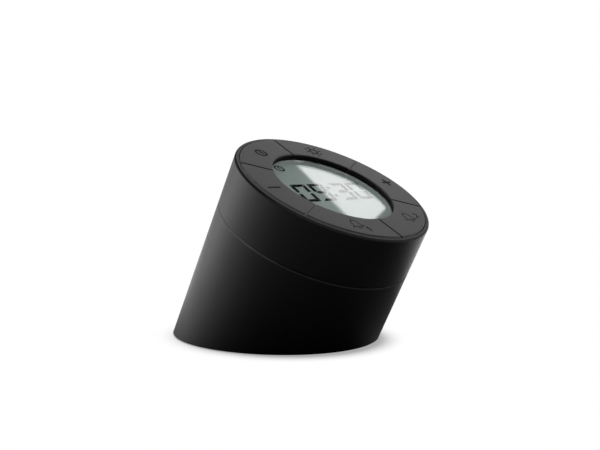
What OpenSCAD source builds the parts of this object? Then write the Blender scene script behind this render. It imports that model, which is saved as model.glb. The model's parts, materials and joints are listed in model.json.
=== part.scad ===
// Digital timer clock in a leaning round body, with a ring of six keys round its display.
// Heights called _u run along the body's axis, from the point where it meets the table.
// Heights called _z run straight up from the table.

/* [Body] */
// Outer diameter of the round body
body_d = 80; // [78:1:110]
// Lean of the body toward the reader, in degrees from upright
tilt = 28; // [22:1:34]
// Length along the axis from the table to the parting line
base_h = 50; // [46:1:80]
// Length along the axis from the parting line to the key faces
head_h = 21.25; // [19:0.25:40]
// Wall of both shells
wall = 2.2; // [1.8:0.1:2.6]
// Rounding of the rim's outer edge
rim_round = 0.8; // [0.4:0.1:1.2]
// Chamfer on each side of the parting line
seam_chamfer = 0.35; // [0.2:0.05:0.6]
// Length of the spigot that centres the head in the base
spigot_h = 3; // [2:0.5:5]
// Wall of the spigot
spigot_t = 1.4; // [1:0.1:2]
// Clearance round the spigot
spigot_gap = 0.15; // [0.1:0.05:0.3]

/* [Keys] */
// Diameter of the display opening inside the key ring
display_d = 50; // [40:0.2:52]
// Width of the rim round the keys
rim_w = 1.6; // [1.2:0.1:2.2]
// Drop of the rim below the key faces
rim_drop = 0.35; // [0:0.05:0.5]
// Clearance between the keys and the rim
rim_gap = 0.3; // [0.3:0.05:0.5]
// Gap between one key and the next
key_gap = 0.2; // [0.15:0.05:1]
// Depth of a key cap
key_t = 2.25; // [1.8:0.05:2.6]
// Thickness of a key cap's top
key_skin = 1.2; // [1:0.1:1.6]
// Rounding of a key cap's upper edges
key_round = 0.5; // [0.2:0.1:0.6]
// Travel of a key
key_travel = 0.6; // [0.4:0.1:1]
// Room left under a pressed key
key_floor_gap = 0.2; // [0.1:0.1:0.5]
// Distance of the plungers and hooks from the keys' outer edge
key_stem_inset = 5.1; // [5:0.1:6]
// Diameter of a key's plunger
plunger_d = 3.6; // [3:0.2:4]
// Clearance round plungers and hooks
stem_gap = 0.3; // [0.3:0.05:0.4]
// Angle from a key's middle to each of its two hooks
hook_angle = 19; // [16:1:20]
// Width of a hook
hook_w = 2; // [1.6:0.2:2.4]
// Thickness of a hook
hook_t = 1.2; // [1:0.1:1.5]
// Reach of a hook's barb
barb = 0.6; // [0.4:0.1:0.8]
// Height of a hook's barb
barb_h = 0.8; // [0.6:0.1:1]

/* [Display] */
// Depth of the window below the key faces
display_recess = 2.35; // [1.6:0.05:2.6]
// Clearance between the window and the keys
window_gap = 0.3; // [0.3:0.05:0.5]
// Thickness of the window's flange
flange_t = 0.6; // [0.5:0.1:1]
// Width of the ledge that carries the window
flange_seat = 0.5; // [0.4:0.1:0.8]
// Air gap between the window and the glass
glass_gap = 0.1; // [0.1:0.05:0.3]
// Reach of the display glass past the opening
glass_margin = 1.2; // [1:0.1:1.4]
// Thickness of each of the two display glasses
glass_t = 0.9; // [0.7:0.1:1.1]
// Length of the front glass's contact ledge
ledge_l = 2; // [1.6:0.2:2.2]
// Width of the contact ledge
ledge_w = 22; // [16:1:22]
// Thickness of the light guide
guide_t = 2.4; // [2:0.1:3]
// Thickness of the reflector under the light guide
film_t = 0.25; // [0.2:0.05:0.4]

/* [Inside the head] */
// Thickness of the deck under the keys
deck_t = 1.6; // [1.4:0.1:2]
// Clearance round the glass in its frame
frame_gap = 0.3; // [0.2:0.1:0.4]
// Wall of the frame that holds the glass
frame_t = 1.2; // [1:0.1:1.4]
// Thickness of the circuit board
board_t = 1.6; // [1:0.2:2]
// Clearance round the circuit board
board_gap = 0.8; // [0.5:0.1:1.2]
// Thickness of the keypad's sheet
pad_t = 0.8; // [0.6:0.1:1]
// Height of a keypad dome over the sheet
dome_h = 1.5; // [1.3:0.1:1.7]
// Radius of a keypad dome's foot
dome_r = 3.4; // [3:0.1:3.6]
// Wall of a keypad dome
dome_t = 0.6; // [0.5:0.1:0.8]
// Gap between a plunger and its dome
dome_gap = 0.05; // [0.02:0.01:0.1]
// Radius of a contact pill
pill_r = 1.4; // [1:0.1:1.5]
// Radius of a post that carries the board
post_r = 2.2; // [2:0.1:2.6]
// Radius of a boss that takes a housing screw
boss_r = 3.2; // [3:0.1:3.5]
// Distance from the wall to the bosses, which stand partly in the spigot
boss_inset = 1.2; // [1:0.1:1.3]

/* [Foot] */
// Height of the lower shell's edge over the table
foot_proud = 0.3; // [0.2:0.1:1]
// Chamfer round the lower shell's edge
foot_chamfer = 0.4; // [0.3:0.1:1.2]
// Height of the base plate over the table
plate_z = 1; // [0.8:0.1:1.6]
// Thickness of the base plate
plate_t = 2.4; // [2.2:0.1:3]
// Clearance round the base plate and the battery door
plate_gap = 0.3; // [0.3:0.05:0.5]
// Height and width of the ledge that the base plate meets
plate_ledge = 1.5; // [1:0.1:2]
// Width of the rubber foot ring
foot_w = 4.5; // [4:0.1:5]
// Distance from the base plate's edge to the foot ring
foot_inset = 2; // [1.8:0.1:3]
// Depth of the foot ring's groove
foot_seat = 0.8; // [0.6:0.1:1]

/* [Batteries] */
// Diameter of a battery cell
cell_d = 10.5; // [10:0.1:10.5]
// Length of a battery cell with its button
cell_l = 44.5; // [43:0.1:44.5]
// Clearance round each cell
cell_gap = 0.3; // [0.2:0.1:0.6]
// Free length for a contact spring
spring_l = 5.6; // [4.5:0.1:6]
// Wall of the battery box
box_t = 1.4; // [1.2:0.1:1.8]
// Thickness of a contact plate
contact_t = 0.4; // [0.3:0.1:0.5]
// Width of the step that the battery door rests in
door_step = 1.6; // [1.4:0.1:2]
// Thickness of the battery door's outer plate
door_t = 1.4; // [1.2:0.1:1.6]

/* [Screws] */
// Radius of the screws' shafts
screw_r = 1.25; // [1:0.05:1.25]
// Clearance round a screw's shaft
screw_gap = 0.1; // [0.05:0.01:0.1]
// Radius of the screws' heads
screw_head_r = 2.3; // [2:0.1:2.4]
// Height of the screws' heads
screw_head_h = 1.2; // [1:0.1:1.3]

/* [Hidden] */
$fn = 96;

// The keys, counted round the ring from the reader's right, against the clock
KEY_PLUS = 0;
KEY_LIGHT = 1;
KEY_CLOCK = 2;
KEY_MINUS = 3;
KEY_ALARM_1 = 4;
KEY_ALARM_2 = 5;
key_count = 6;
key_pitch = 360 / key_count;

// Radii of the shells and the key ring
body_r = body_d / 2;
inner_r = body_r - wall;
well_r = body_r - rim_w;
key_out_r = well_r - rim_gap;
key_in_r = display_d / 2;
stem_r = key_out_r - key_stem_inset;

// Heights along the axis, from the face down
seam_u = base_h;
face_u = base_h + head_h;
rim_u = face_u - rim_drop;
key_bottom_u = face_u - key_t;
deck_top_u = key_bottom_u - key_travel - key_floor_gap;
deck_bottom_u = deck_top_u - deck_t;
window_top_u = face_u - display_recess;
window_bottom_u = deck_top_u - flange_t;
glass_top_u = window_bottom_u - glass_gap;
guide_top_u = glass_top_u - 2 * glass_t;
film_top_u = guide_top_u - guide_t;
board_top_u = film_top_u - film_t;
board_bottom_u = board_top_u - board_t;
dome_top_u = board_top_u + pad_t + dome_h;

// The glass is an octagon, and its frame follows it
glass_r = key_in_r + glass_margin;
frame_in_r = glass_r + frame_gap;
frame_out_r = frame_in_r + frame_t;
octagon_stretch = 1 / cos(180 / 8);
flange_r = frame_in_r * octagon_stretch + flange_seat;
frame_bottom_u = board_top_u + film_t;

// Room left round bosses and screw heads
slot_over = 0.5;

// Two bosses join head and base on the line from low rim to high rim
boss_angles = [90, 270];
boss_at_r = inner_r - boss_inset - boss_r;
ear_r = boss_r + slot_over;
ear_h = 6;
ear_top_u = seam_u - spigot_h - spigot_gap;
ear_bottom_u = ear_top_u - ear_h;
ear_floor = 3.5;
housing_screw_l = 16;

// Four posts carry the board, between the keys
post_angles = [30, 150, 210, 330];
board_screw_l = 4.5;
board_hole_gap = 0.3;
board_r = inner_r - board_gap;

// Lamps behind the glass, and what hangs under the board
lamp_x = 9;
lamp_w = 3;
lamp_h = 1.4;
chip_r = 6;
chip_h = 1.4;
chip_step = 0.8;
crystal_r = 1;
crystal_l = 6;
crystal_at = [12, 5];
sounder_r = 6;
sounder_h = 5.5;
sounder_at = [-16, 0];
port_r = 1;
port_depth = 1.5;

// Four screws under the foot ring hold the base plate
plate_top_z = plate_z + plate_t;
plate_r = inner_r - plate_gap;
foot_out_r = plate_r - foot_inset;
foot_in_r = foot_out_r - foot_w;
foot_top_z = plate_z + foot_seat;
base_screw_at_r = (foot_out_r + foot_in_r) / 2;
base_screw_angles = [45, 135, 225, 315];
base_screw_l = 8;
base_boss_r = 3.4;
base_boss_h = 9;
rib_w = 2;

// The battery box stands on the base plate, below the cells' roof
box_in_l = cell_l + spring_l + 2 * contact_t;
box_in_w = 2 * cell_d + 3 * cell_gap;
cell_z = plate_top_z + cell_gap + cell_d / 2;
box_in_z = cell_z + cell_d / 2 + cell_gap;
box_top_z = box_in_z + box_t;
cell_off_y = (cell_d + cell_gap) / 2;
door_tab_r = screw_head_r + door_step;
door_tab_y = box_in_w / 2 + door_step + screw_head_r;
door_screw_l = 6;
door_boss_r = 3.2;
door_boss_h = 6.5;
door_round = 1.5;
plug_gap = 0.3;
nail_notch = 1.2;

// A cell's button and its contacts
button_r = 1.9;
button_h = 0.8;
contact_gap = 0.05;
contact_w = 8;
tail_w = 3;
tail_h = 3;
spring_wire_r = 0.35;
spring_big_r = 3.6;
spring_small_r = 1.8;
spring_turns = 3.5;
spring_sides = 8;
spring_steps = 16;

// The origin is the middle of the whole object's footprint box
reach = 2 * body_d + base_h + head_h;
back_y = body_r / cos(tilt) - (foot_proud + foot_chamfer) * tan(tilt);
front_y = -(rim_u - rim_round) * sin(tilt) - (body_r - rim_round) * cos(tilt) - rim_round;
axis_y = -(back_y + front_y) / 2;

SHELL_BLACK = "#2b2b2d";
KEY_BLACK = "#3d3d3f";
RUBBER = "#1a1a1a";
STEEL = "#b9bcc0";

// ---- Placing ----

// Carries a piece drawn on an upright axis over to the leaning axis
module lean() {
  translate([0, axis_y, 0]) rotate([tilt, 0, 0]) children();
}

// Puts copies at angles round the axis, at one radius
module around(angles, r) {
  for (a = angles) rotate(a) translate([r, 0, 0]) children();
}

// Where the axis-parallel line at one angle and radius crosses a level, seen from above
function on_level(a, r) = [r * cos(a), axis_y + r * sin(a) / cos(tilt)];

// A level slice of the leaning cylinder of radius r
module lean_slice(r, z0, z1) {
  intersection() {
    lean() translate([0, 0, -reach]) cylinder(r = r, h = 2 * reach);
    translate([-reach, -reach, z0]) cube([2 * reach, 2 * reach, z1 - z0]);
  }
}

// ---- Shapes used more than once ----

// A cylinder between two heights
module disc(r, low, high) {
  translate([0, 0, low]) cylinder(r = r, h = high - low);
}

// A block with its lower left corner at x, y, between two heights
module block(x, y, w, l, low, high) {
  translate([x, y, low]) cube([w, l, high - low]);
}

// An octagon with flats at its sides, by the distance to its flats
module octagon(flat_r) {
  rotate(180 / 8) circle(r = flat_r * octagon_stretch, $fn = 8);
}

// A rectangle with round corners, about the origin
module round_rect(w, l, r) {
  square([w - 2 * r, l], center = true);
  square([w, l - 2 * r], center = true);
  for (x = [-1, 1], y = [-1, 1])
    translate([x * (w / 2 - r), y * (l / 2 - r)]) circle(r = r);
}

// A profile from the axis out to r, with its top outer corner rounded
module round_topped(r, low, high, round_r) {
  translate([0, low]) square([r, high - low - round_r]);
  translate([0, low]) square([r - round_r, high - low]);
  translate([r - round_r, high - round_r]) circle(r = round_r);
}

// The V that both shells lose at the parting line
module seam_groove() {
  rotate_extrude() translate([body_r, seam_u]) rotate(45)
    square(seam_chamfer * sqrt(2), center = true);
}

// A wedge one key wide, with the gaps to its neighbours taken off its sides
module key_wedge(inset, low, high) {
  far = 2 * body_r;
  half = key_pitch / 2;
  translate([inset / sin(half), 0, low]) linear_extrude(high - low)
    polygon([[0, 0], [far, -far * tan(half)], [far, far * tan(half)]]);
}

// The room between the two gaps beside a key, with its upper edges rounded along them
module key_sides() {
  half = key_pitch / 2;
  intersection() {
    rotate(half) key_side();
    rotate(180 - half) key_side();
  }
}

// A slab on one side of a gap's middle, half a gap away from it
module key_side() {
  far = 2 * body_r;
  rotate([90, 0, 90]) linear_extrude(2 * far, center = true)
    translate([-key_gap / 2 - far, 0])
      round_topped(far, key_bottom_u - 1, face_u, key_round);
}

// A countersunk screw with its head's face at z = 0, pointing up
module flat_screw(l) {
  cylinder(r1 = screw_head_r, r2 = screw_r, h = screw_head_h);
  cylinder(r = screw_r, h = l);
}

// The hole for a countersunk screw, whose seat is wider by the screw's clearance
module flat_screw_hole(l) {
  r = screw_r + screw_gap;
  translate([0, 0, -1]) cylinder(r = screw_head_r + screw_gap, h = 1);
  cylinder(r1 = screw_head_r + screw_gap, r2 = r, h = screw_head_h);
  cylinder(r = r, h = l);
}

// A cheese-head screw with the underside of its head at z = 0, pointing up
module cheese_screw(l) {
  translate([0, 0, -screw_head_h]) cylinder(r = screw_head_r, h = screw_head_h);
  cylinder(r = screw_r, h = l);
}

// ---- Shells ----

// The outline of the pocket for the glass and its contact ledge, grown by more
module glass_pocket(more) {
  ledge_out = glass_r + ledge_l + frame_gap + more;
  octagon(frame_in_r + more);
  translate([-ledge_w / 2 - frame_gap - more, -ledge_out])
    square([ledge_w + 2 * frame_gap + 2 * more, ledge_out]);
}

// The slot in the deck that one hook passes
module hook_slot() {
  over = stem_gap;
  block(-hook_t / 2 - over, -hook_w / 2 - over, hook_t + barb + 2 * over, hook_w + 2 * over,
    deck_bottom_u - 1, deck_top_u + 1);
}

// The windows in the glass frame that the lamps stand in
module lamp_windows() {
  for (s = [-1, 1])
    block(s * lamp_x - lamp_w / 2 - frame_gap, frame_in_r - 1, lamp_w + 2 * frame_gap,
      frame_t + 2, frame_bottom_u - 1, guide_top_u);
}

// Upper shell: rim, key deck, glass frame, posts for the board and bosses for the base
module head_housing() {
  color(SHELL_BLACK) lean() difference() {
    union() {
      // wall, rim and deck
      rotate_extrude() difference() {
        round_topped(body_r, seam_u, rim_u, rim_round);
        translate([0, deck_top_u]) square([well_r, face_u]);
        translate([0, seam_u - 1]) square([inner_r, deck_bottom_u - seam_u + 1]);
      }
      // spigot, with the shoulder that carries it
      difference() {
        union() {
          disc(inner_r - spigot_gap, seam_u - spigot_h, seam_u + spigot_t);
          disc(inner_r + wall / 2, seam_u, seam_u + spigot_t);
        }
        disc(inner_r - spigot_gap - spigot_t, seam_u - spigot_h - 1, seam_u + spigot_t + 1);
      }
      // frame round the glass
      translate([0, 0, frame_bottom_u]) linear_extrude(deck_bottom_u - frame_bottom_u)
        glass_pocket(frame_t);
      around(post_angles, stem_r) disc(post_r, board_top_u, deck_bottom_u + deck_t / 2);
      around(boss_angles, boss_at_r) disc(boss_r, ear_top_u, deck_bottom_u + deck_t / 2);
    }
    // the glass's pocket, and the window's seat over it
    translate([0, 0, frame_bottom_u - 1]) linear_extrude(window_bottom_u - frame_bottom_u + 1)
      glass_pocket(0);
    disc(flange_r + window_gap, window_bottom_u, deck_top_u + 1);
    lamp_windows();
    // ways through the deck for plungers and hooks
    for (k = [0 : key_count - 1]) rotate(k * key_pitch) {
      translate([stem_r, 0, 0])
        disc(plunger_d / 2 + stem_gap, deck_bottom_u - 1, deck_top_u + 1);
      around([-hook_angle, hook_angle], stem_r) hook_slot();
    }
    // screw holes
    around(post_angles, stem_r)
      disc(screw_r + screw_gap, board_top_u - 1, deck_bottom_u - key_floor_gap);
    around(boss_angles, boss_at_r)
      disc(screw_r + screw_gap, ear_top_u - 1, ear_top_u + housing_screw_l);
    seam_groove();
  }
}

// An ear inside the base's top edge, which carries a housing screw
module ear() {
  difference() {
    union() {
      disc(ear_r, ear_bottom_u, ear_top_u);
      block(0, -ear_r, inner_r + wall / 2 - boss_at_r, 2 * ear_r, ear_bottom_u, ear_top_u);
    }
    disc(screw_r + screw_gap, ear_bottom_u - 1, ear_top_u + 1);
    disc(screw_head_r + slot_over, ear_bottom_u - 1, ear_top_u - ear_floor);
  }
}

// A boss for a base plate screw, tied to the wall by a rib, before the plate's room is cut off
module base_boss(a) {
  p = on_level(a, base_screw_at_r);
  translate([p[0], p[1], 0]) {
    disc(base_boss_r, plate_z, plate_top_z + base_boss_h);
    rotate(a) block(0, -rib_w / 2, body_r, rib_w, plate_z, plate_top_z + base_boss_h);
  }
}

// The sloped envelope that gives the lower edge its chamfer
module foot_envelope() {
  multmatrix([
    [1, 0, 0, 0],
    [0, 1 / cos(tilt), -tan(tilt), axis_y],
    [0, 0, 1, 0]
  ]) translate([0, 0, foot_proud])
    cylinder(r1 = body_r - foot_chamfer, r2 = body_r - foot_chamfer + reach, h = reach);
}

// Lower shell: an open tube cut level at the table
module base_housing() {
  color(SHELL_BLACK) difference() {
    union() {
      intersection() {
        difference() {
          lean() disc(body_r, -reach, seam_u);
          lean() disc(inner_r, -reach - 1, seam_u + 1);
        }
        foot_envelope();
      }
      // ledge over the base plate
      difference() {
        lean_slice(inner_r + wall / 2, plate_top_z, plate_top_z + plate_ledge);
        lean_slice(inner_r - plate_ledge, plate_top_z - 1, plate_top_z + plate_ledge + 1);
      }
      lean() around(boss_angles, boss_at_r) ear();
      intersection() {
        for (a = base_screw_angles) base_boss(a);
        lean_slice(inner_r + wall / 2, plate_top_z, plate_top_z + base_boss_h);
      }
    }
    for (a = base_screw_angles) {
      p = on_level(a, base_screw_at_r);
      translate([p[0], p[1], 0])
        disc(screw_r + screw_gap, plate_z, plate_top_z + base_boss_h - wall);
    }
    lean() seam_groove();
  }
}

// ---- Foot and batteries ----

// The battery door's outline, with a tab for each of its two screws
module door_outline(more) {
  round_rect(box_in_l + 2 * door_step + 2 * more, box_in_w + 2 * door_step + 2 * more,
    door_round + more);
  for (s = [-1, 1]) translate([0, s * door_tab_y]) circle(r = door_tab_r + more);
}

// Moves a piece over the battery box's middle, which is the axis's foot
module at_box() {
  translate([0, axis_y, 0]) children();
}

// Bottom plate with the battery box moulded on it
module base_plate() {
  color(SHELL_BLACK) difference() {
    union() {
      lean_slice(plate_r, plate_z, plate_top_z);
      at_box() {
        block(-box_in_l / 2 - box_t, -box_in_w / 2 - box_t, box_in_l + 2 * box_t,
          box_in_w + 2 * box_t, plate_z + door_t, box_top_z);
        for (s = [-1, 1]) translate([0, s * door_tab_y, 0])
          disc(door_boss_r, plate_z + door_t, plate_top_z + door_boss_h);
      }
    }
    // groove for the foot ring
    difference() {
      lean_slice(foot_out_r, plate_z - 1, foot_top_z);
      lean_slice(foot_in_r, plate_z - 2, foot_top_z + 1);
    }
    at_box() {
      // the step that the door rests in, then the box's own hollow
      translate([0, 0, plate_z - 1]) linear_extrude(door_t + 1) door_outline(plate_gap);
      block(-box_in_l / 2, -box_in_w / 2, box_in_l, box_in_w, plate_z, box_in_z);
      for (s = [-1, 1]) translate([0, s * door_tab_y, 0])
        disc(screw_r + screw_gap, plate_z, plate_z + door_screw_l + 1);
      // ways out for the contacts' tails, on the lead side
      for (s = [-1, 1])
        block(box_in_l / 2 - 2 * contact_t, s * cell_off_y - tail_w / 2 - contact_gap,
          2 * contact_t, tail_w + 2 * contact_gap, box_in_z - 1, box_top_z + 1);
    }
    for (a = base_screw_angles) {
      p = on_level(a, base_screw_at_r);
      translate([p[0], p[1], foot_top_z]) flat_screw_hole(plate_t);
    }
  }
}

// Battery door: an outer plate and the plug that fills the box's mouth
module battery_door() {
  color(SHELL_BLACK) at_box() difference() {
    union() {
      translate([0, 0, plate_z]) linear_extrude(door_t) door_outline(0);
      block(-box_in_l / 2 + plug_gap, -box_in_w / 2 + plug_gap, box_in_l - 2 * plug_gap,
        box_in_w - 2 * plug_gap, plate_z, plate_top_z);
    }
    for (s = [-1, 1]) translate([0, s * door_tab_y, plate_z]) flat_screw_hole(plate_t);
    // a notch for a fingernail
    translate([box_in_l / 2 + door_step, 0, plate_z]) rotate([0, 45, 0])
      cube([nail_notch, cell_d, nail_notch], center = true);
  }
}

module door_screws() {
  color(STEEL) at_box() for (s = [-1, 1])
    translate([0, s * door_tab_y, plate_z]) flat_screw(door_screw_l);
}

// Soft ring that the clock stands on
module foot_ring() {
  color(RUBBER) difference() {
    lean_slice(foot_out_r - contact_gap, 0, foot_top_z);
    lean_slice(foot_in_r + contact_gap, -1, foot_top_z + 1);
  }
}

module base_screws() {
  color(STEEL) for (a = base_screw_angles) {
    p = on_level(a, base_screw_at_r);
    translate([p[0], p[1], foot_top_z]) flat_screw(base_screw_l);
  }
}

// Two screws from the base's ears into the head's bosses
module housing_screws() {
  color(STEEL) lean() around(boss_angles, boss_at_r)
    translate([0, 0, ear_top_u - ear_floor]) cheese_screw(housing_screw_l);
}

// A cell along X, with its button toward +X
module cell() {
  rotate([0, 90, 0]) {
    translate([0, 0, -cell_l / 2]) cylinder(r = cell_d / 2, h = cell_l - button_h);
    translate([0, 0, cell_l / 2 - button_h - 1]) cylinder(r = button_r, h = button_h + 1);
  }
}

// Puts a cell or its contacts in each half of the box, turned end for end
module each_cell() {
  translate([0, axis_y, cell_z]) for (s = [0, 1]) rotate(s * 180)
    translate([0, cell_off_y, 0]) children();
}

module battery_cells() {
  color("#c9a24a") each_cell()
    translate([box_in_l / 2 - contact_t - contact_gap - cell_l / 2, 0, 0]) cell();
}

// Contact plates: one pair joined at the far end, two with tails at the lead end
module contact_plates() {
  half_h = cell_d / 2 - cell_gap;
  color(STEEL) at_box() {
    block(-box_in_l / 2, -cell_off_y - contact_w / 2, contact_t, 2 * cell_off_y + contact_w,
      cell_z - half_h, cell_z + half_h);
    for (s = [-1, 1]) {
      block(box_in_l / 2 - contact_t, s * cell_off_y - contact_w / 2, contact_t, contact_w,
        cell_z - half_h, cell_z + half_h);
      block(box_in_l / 2 - contact_t, s * cell_off_y - tail_w / 2, contact_t, tail_w,
        cell_z, box_top_z + tail_h);
    }
  }
}

// The ring of points round a spring's wire, a share t of the way along it
function spring_ring(t, l) =
  let (
    a = 360 * spring_turns * t,
    r = spring_big_r + (spring_small_r - spring_big_r) * t,
    x = spring_wire_r + (l - 2 * spring_wire_r) * t
  ) [
    for (i = [0 : spring_sides - 1])
      let (b = 360 * i / spring_sides, q = r + spring_wire_r * cos(b))
        [x + spring_wire_r * sin(b), q * cos(a), q * sin(a)]
  ];

// A conical spring along X, wide end first
module cone_spring(l) {
  n = ceil(spring_turns * spring_steps);
  points = [for (k = [0 : n]) each spring_ring(k / n, l)];
  sides = [
    for (k = [0 : n - 1], i = [0 : spring_sides - 1])
      let (j = (i + 1) % spring_sides, a = k * spring_sides, b = a + spring_sides)
        each [[a + i, a + j, b + j], [a + i, b + j, b + i]]
  ];
  first = [for (i = [spring_sides - 1 : -1 : 0]) i];
  last = [for (i = [0 : spring_sides - 1]) n * spring_sides + i];
  polyhedron(points = points, faces = concat(sides, [first, last]));
}

module contact_springs() {
  color(STEEL) each_cell() translate([-box_in_l / 2 + contact_t, 0, 0])
    cone_spring(spring_l - 2 * contact_gap);
}

// ---- Keys ----

// One key: a cored cap, its plunger and two barbed hooks
module key(k) {
  color(KEY_BLACK) lean() rotate(k * key_pitch) {
    difference() {
      intersection() {
        rotate_extrude() difference() {
          round_topped(key_out_r, key_bottom_u, face_u, key_round);
          translate([0, key_bottom_u - 1]) square([key_in_r, key_t + 1 - key_round]);
          square([key_in_r + key_round, face_u + 1]);
        }
        key_sides();
      }
      // cored from below
      intersection() {
        difference() {
          disc(key_out_r - key_skin, key_bottom_u - 1, face_u - key_skin);
          disc(key_in_r + key_skin, key_bottom_u - 2, face_u);
        }
        key_wedge(key_gap / 2 + key_skin, key_bottom_u - 1, face_u);
      }
    }
    key_inner_edge();
    translate([stem_r, 0, 0]) disc(plunger_d / 2, dome_top_u + dome_gap, face_u - key_skin);
    around([-hook_angle, hook_angle], stem_r) {
      block(-hook_t / 2, -hook_w / 2, hook_t, hook_w, deck_bottom_u - dome_gap - barb_h,
        face_u - key_skin);
      block(-hook_t / 2, -hook_w / 2, hook_t + barb, hook_w,
        deck_bottom_u - dome_gap - barb_h, deck_bottom_u - dome_gap);
    }
  }
}

// The rounded edge of a key along the display opening
module key_inner_edge() {
  intersection() {
    rotate_extrude() {
      translate([key_in_r, key_bottom_u]) square([2 * key_round, key_t - key_round]);
      translate([key_in_r + key_round, face_u - key_round]) circle(r = key_round);
    }
    key_sides();
  }
}

module key_plus() { key(KEY_PLUS); }
module key_light() { key(KEY_LIGHT); }
module key_clock() { key(KEY_CLOCK); }
module key_minus() { key(KEY_MINUS); }
module key_alarm_1() { key(KEY_ALARM_1); }
module key_alarm_2() { key(KEY_ALARM_2); }

// ---- Display ----

// Clear window: a raised round pane on a flange that sits in the deck
module display_window() {
  color("#dfe6e6", 0.4) lean() {
    disc(key_in_r - window_gap, window_bottom_u, window_top_u);
    disc(flange_r, window_bottom_u, deck_top_u);
  }
}

// Front glass, with the ledge that holds its contacts
module lcd_front_glass() {
  ledge_out = glass_r + ledge_l;
  color("#7d8a85") lean() translate([0, 0, glass_top_u - glass_t]) linear_extrude(glass_t) {
    octagon(glass_r);
    translate([-ledge_w / 2, -ledge_out]) square([ledge_w, ledge_out]);
  }
}

module lcd_rear_glass() {
  color("#6f7c77") lean() translate([0, 0, guide_top_u]) linear_extrude(glass_t) octagon(glass_r);
}

// Clear plate that spreads the side light behind the glass
module light_guide() {
  color("#e8ecec", 0.6) lean() translate([0, 0, film_top_u]) linear_extrude(guide_t)
    octagon(glass_r);
}

module reflector_film() {
  color("white") lean() translate([0, 0, board_top_u]) linear_extrude(film_t) octagon(glass_r);
}

// Two side-firing lamps at the light guide's upper edge
module backlight_lamps() {
  color("#f2ead0") lean() for (s = [-1, 1])
    block(s * lamp_x - lamp_w / 2, frame_in_r, lamp_w, frame_t, board_top_u,
      board_top_u + lamp_h);
}

// Conductive strip from the board up to the glass's contact ledge
module elastomer_strip() {
  color("#b98f8f") lean()
    block(-ledge_w / 2, -glass_r - ledge_l, ledge_w, ledge_l - frame_gap, board_top_u,
      glass_top_u - glass_t);
}

// ---- Board ----

// What the board and the keypad lose to the two bosses
module boss_slots(low, high) {
  around(boss_angles, boss_at_r) {
    disc(boss_r + slot_over, low, high);
    block(0, -boss_r - slot_over, body_r, 2 * (boss_r + slot_over), low, high);
  }
}

// Rubber sheet with a hollow dome under each plunger
module silicone_keypad() {
  pad_in_r = frame_out_r * octagon_stretch + frame_gap;
  color("#8f9496") lean() difference() {
    union() {
      difference() {
        disc(board_r, board_top_u, board_top_u + pad_t);
        disc(pad_in_r, board_top_u - 1, board_top_u + pad_t + 1);
        translate([0, 0, board_top_u - 1]) linear_extrude(pad_t + 2)
          glass_pocket(frame_t + frame_gap);
      }
      around([for (k = [0 : key_count - 1]) k * key_pitch], stem_r)
        translate([0, 0, board_top_u]) cylinder(r1 = dome_r, r2 = pill_r + dome_t,
          h = pad_t + dome_h);
    }
    around([for (k = [0 : key_count - 1]) k * key_pitch], stem_r)
      translate([0, 0, board_top_u - contact_gap]) cylinder(r1 = dome_r - dome_t,
        r2 = pill_r + contact_gap, h = pad_t + dome_h - dome_t);
    around(post_angles, stem_r)
      disc(post_r + frame_gap, board_top_u - 1, board_top_u + pad_t + 1);
    boss_slots(board_top_u - 1, board_top_u + pad_t + 1);
    // parted into two mats between the ring's hole and the bosses
    around(boss_angles, pad_in_r - 1)
      block(0, -boss_r / 2, boss_at_r - pad_in_r + 1, boss_r, board_top_u - 1,
        board_top_u + pad_t + 1);
  }
}

// Conductive pills moulded under the domes
module contact_pills() {
  color("#202020") lean() around([for (k = [0 : key_count - 1]) k * key_pitch], stem_r)
    disc(pill_r - contact_gap, board_top_u + key_travel + contact_gap,
      dome_top_u - dome_t - contact_gap);
}

module main_board() {
  color("#1f6b3a") lean() difference() {
    disc(board_r, board_bottom_u, board_top_u);
    boss_slots(board_bottom_u - 1, board_top_u + 1);
    around(post_angles, stem_r)
      disc(screw_r + board_hole_gap, board_bottom_u - 1, board_top_u + 1);
  }
}

module board_screws() {
  color(STEEL) lean() around(post_angles, stem_r)
    translate([0, 0, board_bottom_u]) cheese_screw(board_screw_l);
}

// Chip under its drop of resin
module controller_chip() {
  color("#101010") lean() {
    disc(chip_r, board_bottom_u - chip_step, board_bottom_u);
    translate([0, 0, board_bottom_u - chip_h])
      cylinder(r1 = chip_r - chip_step, r2 = chip_r, h = chip_h - chip_step);
  }
}

// Crystal can lying against the board's underside
module crystal() {
  color(STEEL) lean() translate([crystal_at[0], crystal_at[1], board_bottom_u - crystal_r])
    rotate([-90, 0, 0]) cylinder(r = crystal_r, h = crystal_l);
}

// Round sounder with its port
module piezo_buzzer() {
  color("#181818") lean() translate([sounder_at[0], sounder_at[1], 0]) difference() {
    disc(sounder_r, board_bottom_u - sounder_h, board_bottom_u);
    disc(port_r, board_bottom_u - sounder_h - 1, board_bottom_u - sounder_h + port_depth);
  }
}

head_housing();
base_housing();
base_plate();
battery_door();
door_screws();
foot_ring();
base_screws();
housing_screws();
board_screws();
key_clock();
key_light();
key_plus();
key_alarm_2();
key_alarm_1();
key_minus();
display_window();
lcd_front_glass();
lcd_rear_glass();
light_guide();
reflector_film();
backlight_lamps();
elastomer_strip();
silicone_keypad();
contact_pills();
main_board();
controller_chip();
crystal();
piezo_buzzer();
battery_cells();
contact_plates();
contact_springs();
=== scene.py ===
import json
import math

import bmesh
import bpy
from mathutils import Matrix, Vector


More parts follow.
